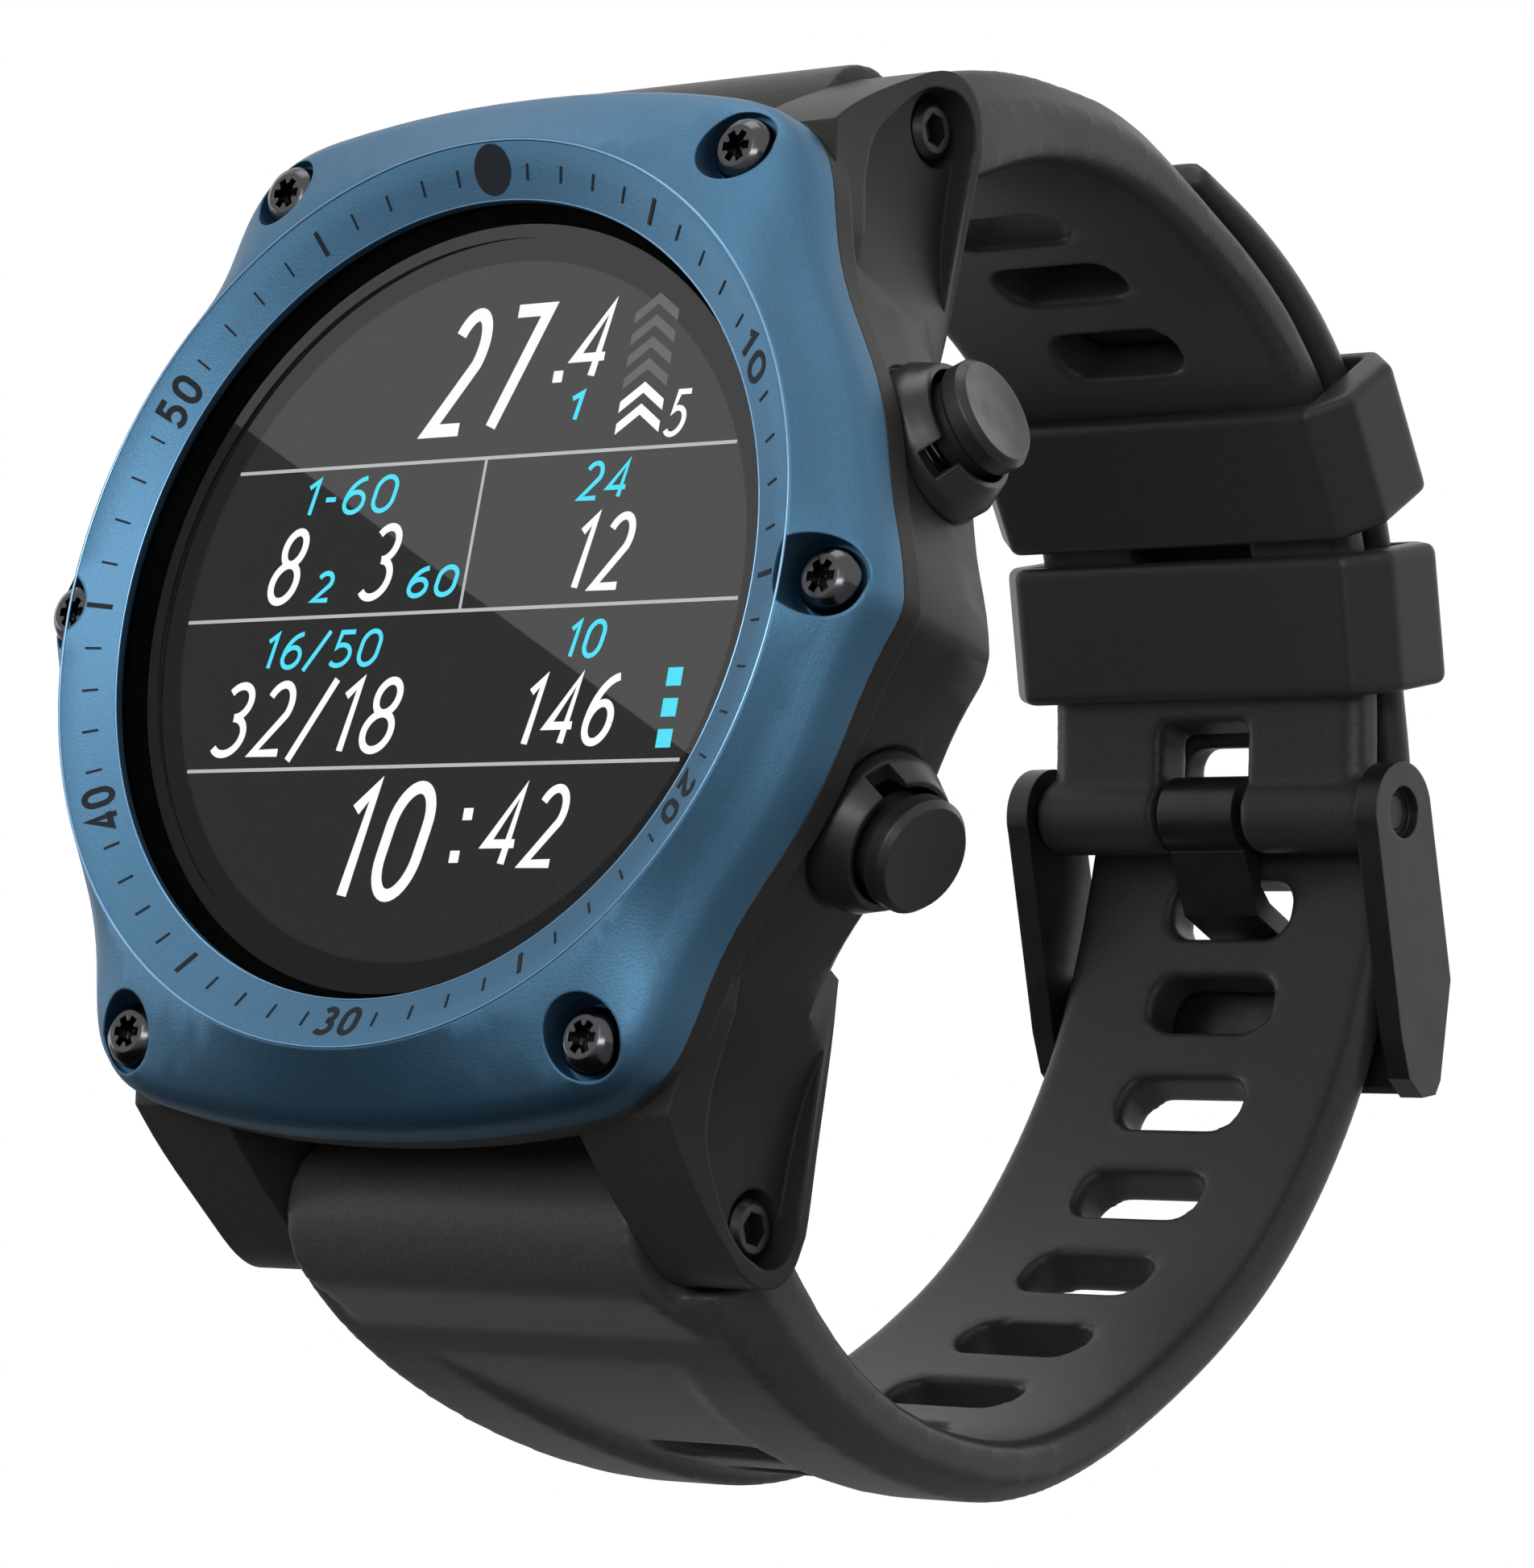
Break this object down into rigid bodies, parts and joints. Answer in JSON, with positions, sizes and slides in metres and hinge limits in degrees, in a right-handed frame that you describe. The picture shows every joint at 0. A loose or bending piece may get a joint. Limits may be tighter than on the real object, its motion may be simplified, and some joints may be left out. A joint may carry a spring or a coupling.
{
  "type": "dive computer",
  "caption": "Wrist dive computer with a round flat display under a crystal, screwed metal bezel, side push buttons, and a slotted silicone strap closed by a pin buckle with loose keepers.",
  "frame": {"origin": "centre of the case back's rear face, on the dial axis", "axes": "-Y looks out of the dial, +Y goes into the wrist, +Z is 12 o'clock, +X is 3 o'clock"},
  "size_m": [0.053, 0.0771, 0.0737],
  "materials": {
    "blue_anodised": "bead blasted, blue anodised",
    "black_steel": "satin black coated steel",
    "steel": "brushed",
    "switch": "matte",
    "crystal": "clear sapphire",
    "mask_ink": "black ink",
    "display": "display",
    "seal": "soft black rubber",
    "silicone": "matte silicone",
    "keeper_plastic": "satin",
    "case_resin": "fibre reinforced black resin, satin",
    "frame_plastic": "matte",
    "board": "solder mask green",
    "chips": "matte",
    "cell": "foil pouch",
    "ribbon": "amber film",
    "copper": "enamelled copper wire",
    "ferrite": "matte"
  },
  "bodies": {
    "case": {"battery": "cell", "bezel": "blue_anodised", "bezel_screws": "black_steel", "board_parts": "chips", "buckle_pin": "steel", "button_switches": "switch", "buzzer": "frame_plastic", "case_back": "steel", "case_back_seal": "seal", "case_body": "case_resin", "charging_coil": "copper", "crystal": "crystal", "crystal_gasket": "seal", "depth_sensor": "steel", "display_frame": "frame_plastic", "display_mask": "mask_ink", "display_panel": "display", "display_ribbon": "ribbon", "ferrite_sheet": "ferrite", "guard_lower_left": "black_steel", "guard_lower_right": "black_steel", "guard_upper_left": "black_steel", "guard_upper_right": "black_steel", "lower_strap": "silicone", "lug_bar_lower": "steel", "lug_bar_upper": "steel", "lug_screws": "black_steel", "main_board": "board", "spring_lower_left": "steel", "spring_lower_right": "steel", "spring_upper_left": "steel", "spring_upper_right": "steel", "upper_strap": "silicone", "vibration_motor": "steel"},
    "button_upper_right": {"button_upper_right": "black_steel", "clip_upper_right": "steel"},
    "button_upper_left": {"button_upper_left": "black_steel", "clip_upper_left": "steel"},
    "button_lower_left": {"button_lower_left": "black_steel", "clip_lower_left": "steel"},
    "button_lower_right": {"button_lower_right": "black_steel", "clip_lower_right": "steel"},
    "keeper_lower": {"keeper_lower": "keeper_plastic"},
    "keeper_upper": {"keeper_upper": "keeper_plastic"},
    "buckle_frame": {"buckle_frame": "black_steel"},
    "buckle_tongue": {"buckle_tongue": "black_steel"}
  },
  "joints": [
    {"name": "press_upper_right", "type": "slide", "parent": "case", "child": "button_upper_right", "axis": [-0.9194, 0, -0.3933], "range_m": [0, 0.0008], "stiffness_N_per_m": 1500, "springref_m": -0.001, "deforming": ["spring_upper_right"]},
    {"name": "press_upper_left", "type": "slide", "parent": "case", "child": "button_upper_left", "axis": [0.9194, 0, -0.3933], "range_m": [0, 0.0008], "stiffness_N_per_m": 1500, "springref_m": -0.001, "deforming": ["spring_upper_left"]},
    {"name": "press_lower_left", "type": "slide", "parent": "case", "child": "button_lower_left", "axis": [0.9194, 0, 0.3933], "range_m": [0, 0.0008], "stiffness_N_per_m": 1500, "springref_m": -0.001, "deforming": ["spring_lower_left"]},
    {"name": "press_lower_right", "type": "slide", "parent": "case", "child": "button_lower_right", "axis": [-0.9194, 0, 0.3933], "range_m": [0, 0.0008], "stiffness_N_per_m": 1500, "springref_m": -0.001, "deforming": ["spring_lower_right"]},
    {"name": "keeper_slide_lower", "type": "slide", "parent": "case", "child": "keeper_lower", "axis": [0, 0.3947, -0.9188], "range_m": [-0.0003, 0.001]},
    {"name": "keeper_slide_upper", "type": "slide", "parent": "case", "child": "keeper_upper", "axis": [0, 0.6831, -0.7303], "range_m": [-0.001, 0.0003]},
    {"name": "buckle_hinge", "type": "hinge", "parent": "case", "child": "buckle_frame", "pos_m": [0, 0.0526, 0.0081], "axis": [1, 0, 0], "range_deg": [0, 4]},
    {"name": "tongue_hinge", "type": "hinge", "parent": "buckle_frame", "child": "buckle_tongue", "pos_m": [0, 0.0526, 0.0081], "axis": [1, 0, 0], "range_deg": [0, 5]}
  ]
}
